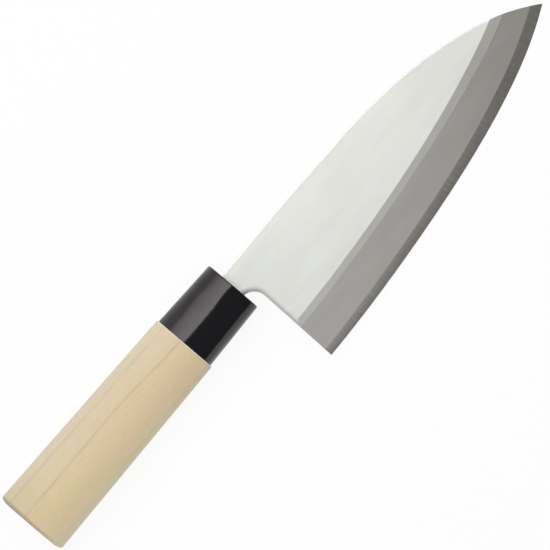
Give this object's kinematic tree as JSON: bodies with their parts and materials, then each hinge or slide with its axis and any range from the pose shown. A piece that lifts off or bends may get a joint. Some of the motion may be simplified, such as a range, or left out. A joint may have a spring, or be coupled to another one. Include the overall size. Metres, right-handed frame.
{
  "type": "deba knife",
  "caption": "Right-handed deba knife: a thick stainless blade with a wide single bevel, its tang bedded in an oval wooden handle behind a black plastic ferrule.",
  "frame": {"origin": "on the handle's long axis, in the plane of the ferrule's front face, where the neck leaves the handle", "axes": "+X along the handle's axis to the blade's tip, +Y towards the spine, +Z out of the bevelled face: the knife lies on its flat side"},
  "size_m": [0.2986, 0.065, 0.0252],
  "materials": {
    "blade_steel": "satin ground stainless steel",
    "ferrule_plastic": "gloss moulded, black",
    "handle_wood": "sanded magnolia wood, unvarnished",
    "bedding_resin": "cured resin"
  },
  "bodies": {
    "root": {"blade": "blade_steel", "ferrule": "ferrule_plastic", "handle": "handle_wood", "tang_bedding": "bedding_resin"}
  },
  "joints": []
}
